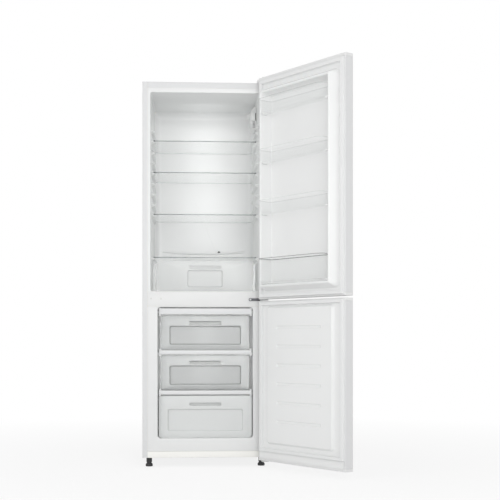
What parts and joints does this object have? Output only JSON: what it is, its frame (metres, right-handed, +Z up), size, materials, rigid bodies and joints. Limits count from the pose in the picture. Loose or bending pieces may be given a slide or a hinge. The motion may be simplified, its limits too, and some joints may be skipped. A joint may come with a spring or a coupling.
{
  "type": "bottom freezer refrigerator",
  "caption": "Upright two-door refrigerator with a freezer below, opened to show glass shelves, crisper, clear freezer drawers, door bins, and the condenser and compressor behind.",
  "frame": {"origin": "on the floor, in the middle of the footprint of the whole object with both doors open as stored", "axes": "+Z up; +Y from the open front towards the back; +X towards the hinge side"},
  "size_m": [0.8523, 0.9821, 1.6985],
  "materials": {
    "white_steel": "semi-gloss white coating",
    "white_plastic": "moulded, satin",
    "liner_plastic": "thermoformed, soft gloss",
    "insulation_foam": "rigid foam, hidden",
    "zinc_steel": "zinc plated",
    "dark_steel": "dark plated",
    "black_paint": "black enamel",
    "black_plastic": "moulded black",
    "glass": "toughened, clear",
    "clear_plastic": "clear, faintly green",
    "gasket_rubber": "soft matt",
    "copper": "bare copper tube",
    "aluminium_tube": "bare drawn tube"
  },
  "bodies": {
    "cabinet": {"side_panel_left": "white_steel", "side_panel_right": "white_steel", "top_panel": "white_steel", "back_panel": "white_steel", "kick_plate": "white_plastic", "base_pan": "zinc_steel", "crossbar_cover": "white_plastic", "cabinet_foam": "insulation_foam", "fridge_liner": "liner_plastic", "freezer_liner": "liner_plastic", "evaporator_coil_1": "aluminium_tube", "evaporator_strip_1": "white_plastic", "evaporator_coil_2": "aluminium_tube", "evaporator_strip_2": "white_plastic", "evaporator_coil_3": "aluminium_tube", "evaporator_strip_3": "white_plastic", "lamp_housing": "white_plastic", "lamp_lens": "clear_plastic", "top_hinge": "zinc_steel", "top_hinge_cover": "white_plastic", "middle_hinge": "dark_steel", "bottom_hinge": "zinc_steel", "compressor_rail": "zinc_steel", "compressor": "black_paint", "start_relay": "black_plastic", "mains_inlet": "black_plastic", "evaporating_tray": "black_plastic", "condenser": "black_paint", "suction_line": "copper"},
    "upper_door": {"upper_door_skin": "white_steel", "upper_door_foam": "insulation_foam", "upper_door_lining": "liner_plastic", "upper_door_gasket": "gasket_rubber", "upper_door_top_cap": "white_plastic", "upper_door_bottom_cap": "white_plastic"},
    "lower_door": {"lower_door_skin": "white_steel", "lower_door_foam": "insulation_foam", "lower_door_lining": "liner_plastic", "lower_door_gasket": "gasket_rubber", "lower_door_top_cap": "white_plastic", "lower_door_bottom_cap": "white_plastic"},
    "thermostat_knob": {"thermostat_knob": "white_plastic"},
    "light_switch_button": {"light_switch_button": "white_plastic"},
    "front_foot_left": {"front_foot_left": "black_plastic"},
    "front_foot_right": {"front_foot_right": "black_plastic"},
    "rear_roller_left": {"rear_roller_left": "black_plastic"},
    "rear_roller_right": {"rear_roller_right": "black_plastic"},
    "glass_shelf_1": {"glass_shelf_1": "glass"},
    "glass_shelf_2": {"glass_shelf_2": "glass"},
    "glass_shelf_3": {"glass_shelf_3": "glass"},
    "crisper_cover": {"crisper_cover": "glass"},
    "crisper_drawer": {"crisper_drawer": "clear_plastic"},
    "freezer_drawer_1": {"freezer_drawer_1": "clear_plastic"},
    "freezer_drawer_2": {"freezer_drawer_2": "clear_plastic"},
    "freezer_drawer_3": {"freezer_drawer_3": "clear_plastic"},
    "door_bin_top": {"door_bin_top": "clear_plastic"},
    "door_bin_upper": {"door_bin_upper": "clear_plastic"},
    "door_bin_lower": {"door_bin_lower": "clear_plastic"},
    "bottle_bin": {"bottle_bin": "clear_plastic"}
  },
  "joints": [
    {"name": "upper_door_hinge", "type": "hinge", "parent": "cabinet", "child": "upper_door", "pos_m": [0.10641, -0.02781, 1.21], "axis": [0, 0, 1], "range_deg": [-124.6, 10]},
    {"name": "lower_door_hinge", "type": "hinge", "parent": "cabinet", "child": "lower_door", "pos_m": [0.10641, -0.02781, 0.376], "axis": [0, 0, 1], "range_deg": [-124.6, 10]},
    {"name": "glass_shelf_1_slide", "type": "slide", "parent": "cabinet", "child": "glass_shelf_1", "axis": [0, -1, 0], "range_m": [0, 0.1]},
    {"name": "glass_shelf_2_slide", "type": "slide", "parent": "cabinet", "child": "glass_shelf_2", "axis": [0, -1, 0], "range_m": [0, 0.1]},
    {"name": "glass_shelf_3_slide", "type": "slide", "parent": "cabinet", "child": "glass_shelf_3", "axis": [0, -1, 0], "range_m": [0, 0.1]},
    {"name": "crisper_cover_slide", "type": "slide", "parent": "cabinet", "child": "crisper_cover", "axis": [0, -1, 0], "range_m": [0, 0.1]},
    {"name": "crisper_slide", "type": "slide", "parent": "cabinet", "child": "crisper_drawer", "axis": [0, -1, 0], "range_m": [0, 0.25]},
    {"name": "freezer_drawer_1_slide", "type": "slide", "parent": "cabinet", "child": "freezer_drawer_1", "axis": [0, -1, 0], "range_m": [0, 0.28]},
    {"name": "freezer_drawer_2_slide", "type": "slide", "parent": "cabinet", "child": "freezer_drawer_2", "axis": [0, -1, 0], "range_m": [0, 0.28]},
    {"name": "freezer_drawer_3_slide", "type": "slide", "parent": "cabinet", "child": "freezer_drawer_3", "axis": [0, -1, 0], "range_m": [0, 0.19]},
    {"name": "door_bin_top_lift", "type": "slide", "parent": "upper_door", "child": "door_bin_top", "axis": [0, 0, 1], "range_m": [0, 0.02]},
    {"name": "door_bin_upper_lift", "type": "slide", "parent": "upper_door", "child": "door_bin_upper", "axis": [0, 0, 1], "range_m": [0, 0.02]},
    {"name": "door_bin_lower_lift", "type": "slide", "parent": "upper_door", "child": "door_bin_lower", "axis": [0, 0, 1], "range_m": [0, 0.02]},
    {"name": "bottle_bin_lift", "type": "slide", "parent": "upper_door", "child": "bottle_bin", "axis": [0, 0, 1], "range_m": [0, 0.02]},
    {"name": "thermostat_turn", "type": "hinge", "parent": "cabinet", "child": "thermostat_knob", "pos_m": [0.04981, 0.26009, 1.5835], "axis": [-1, 0, 0], "range_deg": [-150, 150]},
    {"name": "light_switch_press", "type": "slide", "parent": "cabinet", "child": "light_switch_button", "axis": [0, 1, 0], "range_m": [0, 0.005], "stiffness_N_per_m": 200},
    {"name": "front_foot_left_turn", "type": "hinge", "parent": "cabinet", "child": "front_foot_left", "pos_m": [-0.39819, 0.03659, 0.02], "axis": [0, 0, 1], "continuous": true},
    {"name": "front_foot_right_turn", "type": "hinge", "parent": "cabinet", "child": "front_foot_right", "pos_m": [0.09381, 0.03659, 0.02], "axis": [0, 0, 1], "continuous": true},
    {"name": "rear_roller_left_spin", "type": "hinge", "parent": "cabinet", "child": "rear_roller_left", "pos_m": [-0.39219, 0.43959, 0.018], "axis": [1, 0, 0], "continuous": true},
    {"name": "rear_roller_right_spin", "type": "hinge", "parent": "cabinet", "child": "rear_roller_right", "pos_m": [0.08781, 0.43959, 0.018], "axis": [1, 0, 0], "continuous": true}
  ]
}
